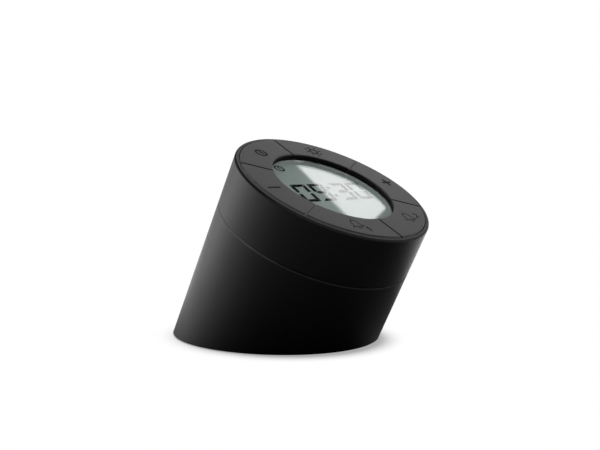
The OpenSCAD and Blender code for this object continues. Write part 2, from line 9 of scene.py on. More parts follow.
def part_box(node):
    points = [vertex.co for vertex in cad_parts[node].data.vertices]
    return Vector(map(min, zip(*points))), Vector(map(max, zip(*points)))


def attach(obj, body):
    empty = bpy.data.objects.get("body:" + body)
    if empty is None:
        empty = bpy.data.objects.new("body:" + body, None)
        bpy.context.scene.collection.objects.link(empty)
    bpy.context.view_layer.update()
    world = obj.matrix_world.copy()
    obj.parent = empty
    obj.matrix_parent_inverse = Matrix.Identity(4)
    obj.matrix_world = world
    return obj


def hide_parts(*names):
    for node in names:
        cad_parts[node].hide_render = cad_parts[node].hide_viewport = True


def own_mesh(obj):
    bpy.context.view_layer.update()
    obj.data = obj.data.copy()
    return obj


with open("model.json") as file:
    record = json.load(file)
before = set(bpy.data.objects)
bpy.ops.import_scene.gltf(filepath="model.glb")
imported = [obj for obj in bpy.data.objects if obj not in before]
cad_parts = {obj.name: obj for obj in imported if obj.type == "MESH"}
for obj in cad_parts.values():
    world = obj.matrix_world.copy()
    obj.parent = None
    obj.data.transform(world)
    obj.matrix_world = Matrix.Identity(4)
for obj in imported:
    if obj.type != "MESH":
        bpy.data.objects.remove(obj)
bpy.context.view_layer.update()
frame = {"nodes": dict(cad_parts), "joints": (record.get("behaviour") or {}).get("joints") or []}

nodes = frame["nodes"]
MM = 0.001

# ---- The leaning body ----

# The keys slide down the body's axis, so their joint gives the lean
UP = -next(Vector(j["axis"]) for j in frame["joints"] if j["name"] == "key_plus_press")
TILT = math.atan2(-UP.y, UP.z)
ring_low, ring_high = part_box("foot_ring")
AXIS_FOOT_Y = (ring_low.y + ring_high.y) / 2 + (ring_high.z - ring_low.z) / 2 * math.tan(TILT)

# Carries mm on the upright axis to metres in the leaning frame
LEAN = (Matrix.Translation((0, AXIS_FOOT_Y, 0)) @ Matrix.Rotation(TILT, 4, "X")
        @ Matrix.Scale(MM, 4))
UPRIGHT = LEAN.inverted()


def top_of(name):
    """Height of a node's upper face along the axis, in mm."""
    return max((UPRIGHT @ v.co).z for v in nodes[name].data.vertices)


def on_axis(x, y, u):
    """A point in metres from mm across the face, up the face and along the axis."""
    return LEAN @ Vector((x, y, u))


def middle_of(points):
    return sum(points, Vector()) / len(points)


FACE_U = top_of("key_plus")
RIM_U = top_of("head_housing")
SEAM_U = top_of("base_housing")
WINDOW_TOP_U = top_of("display_window")
GLASS_TOP_U = top_of("lcd_front_glass")


# ---- Shader arithmetic ----

class Val:
    """A shader socket that takes part in sums."""

    def __init__(self, nodes, socket):
        self.nodes = nodes
        self.socket = socket

    def math(self, operation, first, second):
        return self.nodes.add("ShaderNodeMath", {"operation": operation}, {0: first, 1: second})

    def __add__(self, other):
        return self.math("ADD", self, other)

    def __radd__(self, other):
        return self.math("ADD", other, self)

    def __sub__(self, other):
        return self.math("SUBTRACT", self, other)

    def __rsub__(self, other):
        return self.math("SUBTRACT", other, self)

    def __mul__(self, other):
        return self.math("MULTIPLY", self, other)

    def __rmul__(self, other):
        return self.math("MULTIPLY", other, self)

    def __truediv__(self, other):
        return self.math("DIVIDE", self, other)

    def __rtruediv__(self, other):
        return self.math("DIVIDE", other, self)

    def at_least(self, other):
        return self.math("MAXIMUM", self, other)

    def above(self, other):
        return self.math("GREATER_THAN", self, other)

    def below(self, other):
        return self.math("LESS_THAN", self, other)

    def size(self):
        """Its value without its sign."""
        return self.nodes.add("ShaderNodeMath", {"operation": "ABSOLUTE"}, {0: self})

    def sister(self, name):
        """Another output of the same node."""
        return Val(self.nodes, self.socket.node.outputs[name])


class Nodes:
    """A node tree, with one method that adds any node."""

    def __init__(self, tree):
        self.tree = tree
        tree.nodes.clear()

    def add(self, kind, settings=None, sockets=None, out=0):
        node = self.tree.nodes.new(kind)
        for key, value in (settings or {}).items():
            setattr(node, key, value)
        for key, value in (sockets or {}).items():
            for one in value if isinstance(value, list) else [value]:
                if isinstance(one, Val):
                    self.tree.links.new(one.socket, node.inputs[key])
                else:
                    node.inputs[key].default_value = one
        return Val(self, node.outputs[out] if node.outputs else None)


class Finish(Nodes):
    """The nodes of a material or of the world."""

    def __init__(self, owner):
        owner.use_nodes = True
        self.owner = owner
        super().__init__(owner.node_tree)

    def here(self):
        return self.add("ShaderNodeTexCoord", out="Object")

    def upright(self):
        """Across the face, up the face and along the body's axis, in mm."""
        place = self.add("ShaderNodeMapping", {"vector_type": "TEXTURE"}, {
            "Vector": self.here(), "Location": (0, AXIS_FOOT_Y, 0),
            "Rotation": (TILT, 0, 0), "Scale": (MM, MM, MM)})
        return self.apart(place)

    def apart(self, vector):
        """The three numbers of a vector."""
        x = self.add("ShaderNodeSeparateXYZ", {}, {"Vector": vector}, out="X")
        return x, x.sister("Y"), x.sister("Z")

    def along(self, vector, direction):
        """How far a vector reaches in a direction."""
        return self.add("ShaderNodeVectorMath", {"operation": "DOT_PRODUCT"}, {
            0: vector, 1: tuple(direction)}, out="Value")

    def noise(self, scale, detail=2.0, vector=None):
        return self.add("ShaderNodeTexNoise", {"noise_dimensions": "3D"}, {
            "Vector": vector or self.here(), "Scale": scale, "Detail": detail, "Roughness": 0.5})

    def between(self, factor, first, second):
        """A mix of two colours."""
        mix = self.add("ShaderNodeMix", {"data_type": "RGBA"}, {0: factor}, out=2)
        for place, side in ((6, first), (7, second)):
            if isinstance(side, Val):
                self.tree.links.new(side.socket, mix.socket.node.inputs[place])
            else:
                mix.socket.node.inputs[place].default_value = side
        return mix

    def either(self, factor, first, second):
        """A mix of two shaders."""
        return self.add("ShaderNodeMixShader", {}, {0: factor, 1: first, 2: second})

    def fit(self, value, low, high, to_low, to_high, kind="LINEAR"):
        """Carries one range of values onto another, and holds at its ends."""
        return self.add("ShaderNodeMapRange", {"interpolation_type": kind}, {
            "Value": value, "From Min": low, "From Max": high, "To Min": to_low,
            "To Max": to_high})

    def bump(self, height, distance):
        return self.add("ShaderNodeBump", {}, {
            "Height": height, "Distance": distance, "Strength": 1.0})

    def surface(self, shader):
        kind = "World" if isinstance(self.owner, bpy.types.World) else "Material"
        self.add("ShaderNodeOutput" + kind, {}, {"Surface": shader})
        return self.owner


def grey(value):
    return (value, value, value, 1)


def tinted(colour, share):
    """A colour that many times as bright."""
    return tuple(c * share for c in colour[:3]) + (1,)


def new_finish(name):
    return Finish(bpy.data.materials.new(name))


# ---- Places on the leaning body where highlights and shade are painted: masks from 0 to 1, by mm across, up and along the axis ----

RIM_IN_R = 37.0
KEY_WALL_R = 38.0
BODY_WALL_R = 39.0
KEY_INNER_R = 25.4
# The rounding between the wall and the rim starts here
ROUNDING_U = RIM_U - 1.0


def outside(x, y, radius):
    """Farther from the axis than that."""
    return (x * x + y * y).above(radius ** 2)


def reader_side(f, y):
    """1 on the reader's side of the head, falling to 0 toward its middle."""
    return f.fit(y, -2.0, -18.0, 0.0, 1.0)


def rim_level(f, u):
    """1 at the level of the rim's flat top, and 0 on the rounding under it."""
    return f.fit(u, RIM_U - 0.12, RIM_U - 0.03, 0.0, 1.0)


def painted_rim_highlight(f, x, y, u):
    """The upper shell's narrow top face, outside the keys, painted lighter as a highlight."""
    return rim_level(f, u) * outside(x, y, RIM_IN_R)


def painted_edge_shade(f, x, y, u):
    """The upper shell's rounded outer edge, and its lower edge on the reader's side, where the
    gloss is taken off so that they show as dark lines of painted shade.
    """
    upper = f.fit(u, ROUNDING_U - 0.1, ROUNDING_U + 0.2, 0.0, 1.0) * (1.0 - rim_level(f, u))
    upper = upper * f.fit(y, -32.0, 0.0, 0.25, 0.75)
    lower = f.fit(u, SEAM_U + 0.45, SEAM_U + 0.65, 1.0, 0.0) * f.fit(y, -12.0, -24.0, 0.0, 0.8)
    return upper.at_least(lower) * outside(x, y, BODY_WALL_R)


def painted_rounding_highlight(f, x, y, u):
    """The rounding from the rim down to the wall, on the reader's side, painted lighter as a
    highlight.
    """
    return (f.fit(u, ROUNDING_U, ROUNDING_U + 0.5, 0.0, 1.0) * (1.0 - rim_level(f, u))
            * outside(x, y, BODY_WALL_R) * reader_side(f, y))


def painted_seam_highlight(f, x, y, u):
    """The lower shell's chamfer under the parting line, painted lighter as a highlight."""
    return (f.fit(u, SEAM_U - 0.5, SEAM_U - 0.3, 0.0, 1.0) * u.below(SEAM_U + 0.05)
            * outside(x, y, BODY_WALL_R))


def painted_seam_side_highlight(f, x, y, u):
    """That chamfer where the wall turns away to the side, where the painted highlight is brighter
    still.
    """
    return painted_seam_highlight(f, x, y, u) * f.fit(y, -20.0, -2.0, 0.0, 1.0)


def painted_key_wall_highlight(f, x, y, u):
    """The keys' outer walls, which stand a little above the rim, painted lighter as a highlight.
    """
    return outside(x, y, KEY_WALL_R) * u.below(FACE_U - 0.03)


def painted_near_wall_highlight(f, x, y, u):
    """Those walls on the reader's side, painted lighter still as a highlight."""
    return painted_key_wall_highlight(f, x, y, u) * reader_side(f, y)


def near_line(x, y, degrees, reach):
    """1 within that many mm of the line through the middle at that angle."""
    a = math.radians(degrees)
    return (x * math.sin(a) - y * math.cos(a)).size().below(reach)


def painted_gap_shade(f, x, y, u):
    """The keys' edges at four of the gaps, painted dark as shade so that they show as dark lines.
    """
    upright, falling = near_line(x, y, 90, 0.38), near_line(x, y, 150, 0.42)
    return upright.at_least(falling)


def painted_gap_wall_light(f, x, y, u):
    """The keys' walls at the other two gaps, painted pale as light so that these gaps hardly show.
    """
    return near_line(x, y, 30, 0.3) * u.below(FACE_U - 0.02)


def painted_well_shade(f, x, y, u):
    """The keys' inner walls, which go down to the window, painted dark as shade in the recess."""
    return (1.0 - outside(x, y, KEY_INNER_R)) * u.below(FACE_U - 0.4)


# ---- Finishes ----

def moulded(name, dark, light, roughness, gloss, grain=9000.0, grain_depth=0.012 * MM,
            places=(), matt=None):
    """Moulded plastic or rubber: a fine even grain, with slow changes in tone and gloss.

    Each place is a mask on the leaning body, with its tone and the roughness it adds.
    matt is a mask of what has no gloss."""
    uneven = 0.06
    f = new_finish(name)
    patches = f.noise(55.0, 3.0)
    fine = f.noise(grain)
    tone = f.between(f.fit(patches, 0.35, 0.65, 0.0, 1.0), dark, light)
    rough = roughness + (patches - 0.5) * uneven + (fine - 0.5) * uneven
    spot = f.upright() if places or matt else None
    for mask, pale, added in places:
        share = mask(f, *spot)
        tone = f.between(share, tone, pale)
        rough = rough + share * added
    normal = f.bump(fine, grain_depth)

    def shader(level):
        return f.add("ShaderNodeBsdfPrincipled", {}, {
            "Base Color": tone, "Roughness": rough, "Specular IOR Level": level,
            "Normal": normal})

    if not matt:
        return f.surface(shader(gloss))
    return f.surface(f.either(matt(f, *spot), shader(gloss), shader(0.0)))


def metal(name, colour, roughness, line_length=1.0):
    """Plated or stamped metal. Its fine lines are that many times as long as broad."""
    f = new_finish(name)
    stretch = f.add("ShaderNodeMapping", {}, {
        "Vector": f.here(), "Scale": (1.0, 1.0, 1.0 / line_length)})
    lines = f.noise(6000.0, vector=stretch)
    shader = f.add("ShaderNodeBsdfPrincipled", {}, {
        "Base Color": f.between(f.noise(300.0), colour, tinted(colour, 0.85)),
        "Metallic": 1.0,
        "Roughness": roughness + (lines - 0.5) * 0.15,
        "Normal": f.bump(lines, 0.004 * MM)})
    return f.surface(shader)


def clear_plastic(name, tint, roughness):
    """Clear acrylic that lets light and shade through to what lies under it."""
    f = new_finish(name)
    haze = f.noise(400.0)
    body = f.add("ShaderNodeBsdfPrincipled", {}, {
        "Base Color": tint, "IOR": 1.49, "Transmission Weight": 1.0,
        "Roughness": f.fit(haze, 0.3, 0.7, roughness * 0.6, roughness * 1.4)})
    through = f.add("ShaderNodeBsdfTransparent", {}, {"Color": grey(0.98)})
    shadow = f.add("ShaderNodeLightPath", out="Is Shadow Ray")
    return f.surface(f.either(shadow.at_least(shadow.sister("Is Diffuse Ray")), body, through))


def display_face():
    """The reflective display: a grey-green sheet under glass, with a very fine sparkle."""
    f = new_finish("display_face")
    cloud = f.noise(90.0)
    sparkle = f.noise(14000.0, 1.0)
    tone = f.between(f.fit(cloud, 0.3, 0.7, 0.0, 1.0),
                     (0.490, 0.600, 0.552, 1), (0.535, 0.645, 0.597, 1))
    shader = f.add("ShaderNodeBsdfPrincipled", {}, {
        "Base Color": tone,
        "Roughness": 0.55 + (sparkle - 0.5) * 0.1,
        "Specular IOR Level": 0.2,
        "Normal": f.bump(sparkle, 0.003 * MM)})
    return f.surface(shader)


def ink(name, colour, gloss):
    """Printed or liquid-crystal marks, with slightly uneven cover."""
    f = new_finish(name)
    cover = f.noise(3000.0)
    shader = f.add("ShaderNodeBsdfPrincipled", {}, {
        "Base Color": f.between(cover, colour, tinted(colour, 1.25)),
        "Roughness": 0.6 + (cover - 0.5) * 0.08,
        "Specular IOR Level": gloss})
    return f.surface(shader)


def circuit_board():
    """Green solder mask with straight copper tracks showing faintly through it."""
    f = new_finish("circuit_board")
    tracks = f.add("ShaderNodeTexBrick", {"offset": 0.5}, {
        "Vector": f.here(), "Scale": 260.0, "Mortar Size": 0.012,
        "Color1": (0.012, 0.105, 0.04, 1), "Color2": (0.014, 0.125, 0.05, 1),
        "Mortar": (0.03, 0.18, 0.07, 1)})
    shader = f.add("ShaderNodeBsdfPrincipled", {}, {
        "Base Color": tracks,
        "Roughness": f.fit(f.noise(2000.0), 0.3, 0.7, 0.3, 0.42),
        "Normal": f.bump(f.noise(1500.0), 0.01 * MM)})
    return f.surface(shader)


def cell_jacket():
    """A cell's plain sleeve with a pale band and a plus toward its button, a minus toward its
    other end, and bare steel at both ends."""
    sleeve, pale, dark, bare = (0.022, 0.045, 0.085, 1), grey(0.42), grey(0.02), grey(0.62)
    crimp_l, button_l, band_l, mark_in = 0.4 * MM, 1.2 * MM, 11 * MM, 6 * MM
    line, arm = 0.3 * MM, 1.3 * MM
    low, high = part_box("battery_cells")
    middle = (low + high) / 2
    off_axis = (high.y - low.y) / 2 - (high.z - low.z) / 2
    closed_end = min(v.co.x for v in nodes["battery_cells"].data.vertices if v.co.y > middle.y)
    f = new_finish("cell_jacket")
    x, y, z = f.apart(f.here())
    # The two cells lie opposite ways
    along = x * (y.above(middle.y) * 2.0 - 1.0)
    across = ((y - middle.y).size() - off_axis).size()
    under = z.below(middle.z)
    steel = along.below(closed_end + crimp_l).at_least(along.above(high.x - button_l))
    band = along.above(high.x - band_l)
    plus_at = (along - (high.x - mark_in)).size()
    minus_at = (along - (closed_end + mark_in)).size()
    plus = (plus_at.below(arm) * across.below(line)).at_least(
        plus_at.below(line) * across.below(arm))
    minus = minus_at.below(line) * across.below(arm)
    scuff = f.noise(700.0, 3.0)
    tone = f.between(band, sleeve, pale)
    tone = f.between(plus * under, tone, dark)
    tone = f.between(minus * under, tone, pale)
    shader = f.add("ShaderNodeBsdfPrincipled", {}, {
        "Base Color": f.between(steel, tone, bare),
        "Metallic": steel,
        "Roughness": f.fit(scuff, 0.3, 0.7, 0.26, 0.38),
        "Normal": f.bump(scuff, 0.006 * MM)})
    return f.surface(shader)


# The grains of the matt mouldings and of the silicone
COARSE = {"grain": 2600.0, "grain_depth": 0.03 * MM}
SOFT = {"grain": 2500.0}

finishes = {
    # The rim's top and the rounding under it on the near side are painted lighter as highlights;
    # the matt edges show as dark lines of painted shade.
    "shell": moulded("soft_touch_shell", grey(0.0007), grey(0.0010), 0.48, 0.075,
                     places=[(painted_rounding_highlight, grey(0.018), 0.0), (painted_rim_highlight, grey(0.058), 0.0)],
                     matt=painted_edge_shade),
    # The chamfer under the parting line is painted lighter as a highlight, brighter still toward
    # the side.
    "base_shell": moulded("soft_touch_base", grey(0.0007), grey(0.0010), 0.48, 0.075,
                          places=[(painted_seam_highlight, grey(0.018), 0.0), (painted_seam_side_highlight, grey(0.060), 0.0)]),
    "plate": moulded("base_plastic", grey(0.016), grey(0.020), 0.55, 0.35, **COARSE),
    "door": moulded("door_plastic", grey(0.018), grey(0.022), 0.52, 0.35, **COARSE),
    # The keys' outer walls are painted lighter as highlights; four gaps and the well are painted
    # dark as shade; the walls of two gaps are painted pale as light.
    "keys": moulded("key_plastic", grey(0.018), grey(0.021), 0.35, 0.16,
                    places=[(painted_key_wall_highlight, grey(0.060), 0.0), (painted_near_wall_highlight, grey(0.10), 0.0),
                            (painted_gap_shade, grey(0.001), 0.3), (painted_gap_wall_light, grey(0.20), 0.0),
                            (painted_well_shade, grey(0.001), 0.5)]),
    "foot_rubber": moulded("foot_rubber", grey(0.020), grey(0.030), 0.75, 0.25,
                           grain=1800.0, grain_depth=0.02 * MM),
    "screws": metal("plated_steel", (0.62, 0.62, 0.64, 1), 0.28),
    "window": clear_plastic("window_acrylic", grey(1.0), 0.012),
    "display_glass": display_face(),
    "clear_guide": clear_plastic("guide_acrylic", (0.97, 0.99, 0.98, 1), 0.2),
    "white_film": moulded("white_film", grey(0.80), grey(0.84), 0.4, 0.4,
                          grain=3000.0, grain_depth=0.005 * MM),
    "lamp": moulded("lamp_body", (0.75, 0.7, 0.5, 1), (0.8, 0.76, 0.55, 1), 0.35, 0.5),
    "strip_rubber": moulded("strip_rubber", (0.35, 0.12, 0.12, 1), (0.4, 0.15, 0.15, 1), 0.6, 0.3),
    "keypad_rubber": moulded("keypad_rubber", grey(0.24), grey(0.28), 0.6, 0.3, **SOFT),
    "carbon": moulded("carbon_pill", grey(0.010), grey(0.014), 0.7, 0.2, **SOFT),
    "board": circuit_board(),
    "resin": moulded("black_resin", grey(0.008), grey(0.011), 0.25, 0.5,
                     grain=900.0, grain_depth=0.04 * MM),
    "can": metal("crystal_can", (0.72, 0.71, 0.68, 1), 0.22),
    "sounder": moulded("sounder_case", grey(0.012), grey(0.016), 0.45, 0.4, **COARSE),
    "cell_jacket": cell_jacket(),
    "contacts": metal("nickel_contacts", (0.70, 0.66, 0.58, 1), 0.24, line_length=5.0),
}
slot_of = {
    "head_housing": "shell", "base_housing": "base_shell", "base_plate": "plate",
    "battery_door": "door", "door_screws": "screws", "foot_ring": "foot_rubber",
    "base_screws": "screws", "housing_screws": "screws", "board_screws": "screws",
    "display_window": "window", "lcd_front_glass": "display_glass",
    "lcd_rear_glass": "display_glass", "light_guide": "clear_guide",
    "reflector_film": "white_film", "backlight_lamps": "lamp",
    "elastomer_strip": "strip_rubber", "silicone_keypad": "keypad_rubber",
    "contact_pills": "carbon", "main_board": "board", "controller_chip": "resin",
    "crystal": "can", "piezo_buzzer": "sounder", "battery_cells": "cell_jacket",
    "contact_plates": "contacts", "contact_springs": "contacts",
}
for name, node in nodes.items():
    slot = slot_of.get(name, "keys")
    node.data.materials.clear()
    node.data.materials.append(finishes[slot])

key_ink = ink("key_symbol_ink", grey(0.0012), 0.06)
display_ink = ink("display_segment", (0.0012, 0.0018, 0.0015, 1), 0.02)


# ---- Making pieces ----

def linked(name, data):
    made = bpy.data.objects.new(name, data)
    bpy.context.scene.collection.objects.link(made)
    return made


def as_piece(name, mesh, body, finish):
    """A mesh as one piece that rides on a body."""
    data = bpy.data.meshes.new(name)
    mesh.to_mesh(data)
    mesh.free()
    data.materials.append(finish)
    made = linked(name, data)
    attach(made, body)
    return made


def merged(name):
    """A copy of a node's mesh with its triangles joined."""
    mesh = bmesh.new()
    mesh.from_mesh(nodes[name].data)
    bmesh.ops.remove_doubles(mesh, verts=mesh.verts, dist=0.001 * MM)
    return mesh


def loose_parts(name):
    """The separate solids of a node, each as a list of its corners in metres."""
    mesh = merged(name)
    left = set(mesh.verts)
    parts = []
    while left:
        reached = [left.pop()]
        for corner in reached:
            for edge in corner.link_edges:
                other = edge.other_vert(corner)
                if other in left:
                    left.discard(other)
                    reached.append(other)
        parts.append([corner.co.copy() for corner in reached])
    mesh.free()
    return sorted(parts, key=lambda corners: tuple(round(v, 4) for v in min(corners, key=tuple)))


# ---- Marks on the keys and the display ----

class Marks:
    """Thin raised marks on one level of the leaning face, made of strokes and plates in mm."""

    def __init__(self, low, thickness):
        self.mesh = bmesh.new()
        self.low = low
        self.high = low + thickness

    def _corners(self, points, height):
        return [self.mesh.verts.new((x, y, height)) for x, y in points]

    def plate(self, points):
        """A flat plate with that outline, counted against the clock."""
        low = self._corners(points, self.low)
        high = self._corners(points, self.high)
        self.mesh.faces.new(high)
        self.mesh.faces.new(low[::-1])
        for i in range(len(points)):
            j = (i + 1) % len(points)
            self.mesh.faces.new((low[i], low[j], high[j], high[i]))

    def stroke(self, points, width, closed=False):
        """A line of that width through the points, with mitred corners and flat ends."""
        spots = [Vector(p) for p in points]
        count = len(spots)
        left, right = [], []
        for i, spot in enumerate(spots):
            before = spots[i] - spots[i - 1] if i or closed else spots[1] - spots[0]
            after = spots[(i + 1) % count] - spots[i] if i < count - 1 or closed else before
            one = Vector((-before.y, before.x)).normalized()
            two = Vector((-after.y, after.x)).normalized()
            across = (one + two).normalized()
            across *= width / 2 / max(across.dot(one), 0.3)
            left.append(spot + across)
            right.append(spot - across)
        low_l, low_r, high_l, high_r = [self._corners(side, height) for side, height in (
            (left, self.low), (right, self.low), (left, self.high), (right, self.high))]
        for i in range(count if closed else count - 1):
            j = (i + 1) % count
            for a, b in ((high_l, high_r), (low_r, low_l), (low_l, high_l), (high_r, low_r)):
                self.mesh.faces.new((a[i], b[i], b[j], a[j]))
        if not closed:
            for i in (0, count - 1):
                self.mesh.faces.new((low_l[i], low_r[i], high_r[i], high_l[i]))

    def piece(self, name, body, finish):
        """Puts the marks on the leaning face as one piece that rides on a body."""
        # The faces are turned outward in mm, because the smallest marks are too small in metres
        bmesh.ops.recalc_face_normals(self.mesh, faces=self.mesh.faces)
        bmesh.ops.transform(self.mesh, matrix=LEAN, verts=self.mesh.verts)
        as_piece(name, self.mesh, body, finish)


def arc(x, y, r, start, end, steps):
    """Points on an arc, from one angle to another in degrees."""
    turn = [math.radians(start + (end - start) * i / steps) for i in range(steps + 1)]
    return [(x + r * math.cos(a), y + r * math.sin(a)) for a in turn]


def ring(marks, x, y, r, width):
    marks.stroke(arc(x, y, r, 0, 360, 48)[:-1], width, closed=True)


def clock_mark(marks, x, y, r, width):
    """A clock: a ring with two hands."""
    ring(marks, x, y, r, width)
    marks.stroke([(x, y + 0.62 * r), (x, y), (x + 0.42 * r, y - 0.34 * r)], width)


def sun_mark(marks, x, y, r, reach, width):
    """A lamp or sun: a ring with eight rays."""
    ring(marks, x, y, r, width)
    for i in range(8):
        a = math.radians(45 * i)
        marks.stroke([(x + out * math.cos(a), y + out * math.sin(a))
                      for out in (r + 1.3 * width, reach)], width)


def plus_mark(marks, x, y, arm, half):
    """A plus with arms of that length and half that breadth."""
    marks.plate([(x + a, y + b) for a, b in (
        (half, half), (half, arm), (-half, arm), (-half, half), (-arm, half), (-arm, -half),
        (-half, -half), (-half, -arm), (half, -arm), (half, -half), (arm, -half), (arm, half))])


def minus_mark(marks, x, y, arm, width):
    marks.stroke([(x - arm, y), (x + arm, y)], width)


def bell_mark(marks, x, y, w, h, width):
    """A bell: a dome on a flared rim, with its clapper below and its loop on top."""
    half, shoulder = w / 2, 0.28 * w
    side = [(half, -0.3 * h), (0.66 * half, -0.12 * h)]
    dome = arc(0, 0.16 * h, shoulder, 0, 180, 14)
    outline = side + dome + [(-a, b) for a, b in side[::-1]]
    marks.stroke([(x + a, y + b) for a, b in outline], width, closed=True)
    marks.stroke(arc(x, y - 0.3 * h - 0.9 * width, 0.16 * w, 200, 340, 8), width)
    marks.stroke([(x, y + 0.16 * h + shoulder + 0.6 * width),
                  (x, y + 0.16 * h + shoulder + 1.8 * width)], width)


def numeral_mark(marks, x, y, which, h, width):
    """A small plain 1 or 2."""
    if which == 1:
        marks.stroke([(x - 0.28 * h, y + 0.28 * h), (x, y + 0.5 * h), (x, y - 0.5 * h)], width)
        return
    top = arc(x, y + 0.24 * h, 0.26 * h, 160, -30, 10)
    marks.stroke(top + [(x - 0.27 * h, y - 0.46 * h), (x + 0.3 * h, y - 0.46 * h)], width)


PRINT_T = 0.03
BELL_LINE = 0.4
NUMERAL_H = 2.6


def print_on(key, name, *drawings):
    """Prints a key's symbol. A drawing is a mark, its middle and then its sizes, in mm."""
    marks = Marks(FACE_U, PRINT_T)
    for mark, *sizes in drawings:
        mark(marks, *sizes)
    marks.piece(name, key, key_ink)


print_on("key_clock", "clock_symbol", (clock_mark, -16.4, 26.7, 2.3, 0.9))
print_on("key_light", "light_symbol", (sun_mark, 14.4, 27.8, 1.75, 4.0, 0.8))
print_on("key_plus", "plus_symbol", (plus_mark, 33.0, 0.7, 2.6, 0.6))
print_on("key_minus", "minus_symbol", (minus_mark, -32.0, 0.1, 3.1, 0.95))
print_on("key_alarm_2", "alarm_2_symbol",
         (bell_mark, 17.4, -25.8, 5.8, 6.0, BELL_LINE),
         (numeral_mark, 23.0, -25.2, 2, NUMERAL_H, 0.55))
print_on("key_alarm_1", "alarm_1_symbol",
         (bell_mark, -14.8, -27.4, 5.6, 5.8, BELL_LINE),
         (numeral_mark, -11.3, -31.4, 1, NUMERAL_H, 0.7))

# The display, in mm. Its digits lean to the right by the slant for each mm up
SEGMENT_T = 0.04
SLANT = math.tan(math.radians(7.5))
DIGIT_W = 7.75
DIGIT_H = 12.8
DIGIT_LINE = 1.75
SEGMENT_GAP = 0.15
MIDDLE_GAP = 0.4
# Each digit with its place across the face, and how far up their middles are
DIGITS = ((0, -14.7), (9, -5.4), (3, 6.8), (0, 16.0))
DIGITS_Y = -0.2
COLON_X = 0.4
COLON_DOTS_Y = (3.0, -2.8)
COLON_DOT_HALF = 0.75
LIT = {0: "abcdef", 3: "abcdg", 9: "abcdfg"}


def segment_outline(name):
    """One of the seven segments, in mm from the digit's middle, with its ends mitred."""
    w, h, t, g = DIGIT_W / 2, DIGIT_H / 2, DIGIT_LINE, SEGMENT_GAP
    if name == "g":
        return [(-w + g + t / 2, 0), (-w + g + t, -t / 2), (w - g - t, -t / 2),
                (w - g - t / 2, 0), (w - g - t, t / 2), (-w + g + t, t / 2)]
    if name in "ad":
        side = 1 if name == "a" else -1
        return [(side * a, side * b) for a, b in (
            (-w + g, h), (-w + g + t, h - t), (w - g - t, h - t), (w - g, h))]
    turn = -1 if name in "ef" else 1
    lift = 1 if name in "bf" else -1
    m = MIDDLE_GAP
    return [(turn * a, lift * b) for a, b in (
        (w - t, m + t / 4), (w - t / 2, m), (w, m + t / 8), (w, h - g), (w - t, h - g - t))]


marks = Marks(GLASS_TOP_U, SEGMENT_T)
for number, x in DIGITS:
    for segment in LIT[number]:
        marks.plate([(x + a + b * SLANT, DIGITS_Y + b) for a, b in segment_outline(segment)])
for up in COLON_DOTS_Y:
    marks.plate([(COLON_X + up * SLANT + a * COLON_DOT_HALF, DIGITS_Y + up + b * COLON_DOT_HALF)
                 for a, b in ((-1, -1), (1, -1), (1, 1), (-1, 1))])
clock_mark(marks, -11.8, 19.0, 2.0, 0.7)
marks.piece("time_segments", "housing", display_ink)


# ---- Cross recesses of the screws, as thin dark slabs of painted shade ----

# The crosses are dark slabs on the heads: painted shade standing in for the hollows of the
# recesses.
RECESS = {"Arm": 2.7 * MM, "Line": 0.6 * MM, "Depth": 0.05 * MM, "Seed": 4,
          "Finish": moulded("painted_recess_shade", grey(0.004), grey(0.006), 0.6, 0.2)}
RECESS_INPUTS = {"Heads": "Geometry", "Facing": "Vector", "Arm": "Float", "Line": "Float",
                 "Depth": "Float", "Seed": "Int", "Finish": "Material"}


def recess_tree():
    """A cross on every point of a mesh, facing along a vector, each turned its own way."""
    tree = bpy.data.node_groups.new("cross_recesses", "GeometryNodeTree")
    for name, kind in RECESS_INPUTS.items():
        tree.interface.new_socket(name=name, in_out="INPUT", socket_type="NodeSocket" + kind)
    tree.interface.new_socket(name="Crosses", in_out="OUTPUT", socket_type="NodeSocketGeometry")
    g = Nodes(tree)
    heads = g.add("NodeGroupInput", out="Heads")
    arm, line, depth = (heads.sister(name) for name in ("Arm", "Line", "Depth"))

    def bar(x, y):
        size = g.add("ShaderNodeCombineXYZ", {}, {"X": x, "Y": y, "Z": depth})
        return g.add("GeometryNodeMeshCube", {}, {"Size": size})

    cross = g.add("GeometryNodeMeshBoolean", {"operation": "UNION", "solver": "EXACT"}, {
        "Mesh 2": [bar(arm, line), bar(line, arm)]})
    turn = g.add("FunctionNodeRandomValue", {"data_type": "FLOAT"}, {
        2: 0.0, 3: math.pi / 2, "Seed": heads.sister("Seed")}, out=1)
    spun = g.add("FunctionNodeEulerToRotation", {}, {
        "Euler": g.add("ShaderNodeCombineXYZ", {}, {"Z": turn})})
    facing = g.add("FunctionNodeAlignRotationToVector", {"axis": "Z"}, {
        "Vector": heads.sister("Facing")})
    turned = g.add("FunctionNodeRotateRotation", {"rotation_space": "LOCAL"}, {
        "Rotation": facing, "Rotate By": spun})
    placed = g.add("GeometryNodeInstanceOnPoints", {}, {
        "Points": heads, "Instance": cross, "Rotation": turned})
    solid = g.add("GeometryNodeRealizeInstances", {}, {"Geometry": placed})
    done = g.add("GeometryNodeSetMaterial", {}, {
        "Geometry": solid, "Material": heads.sister("Finish")})
    g.add("NodeGroupOutput", {}, {"Crosses": done})
    return tree


recess_nodes = recess_tree()


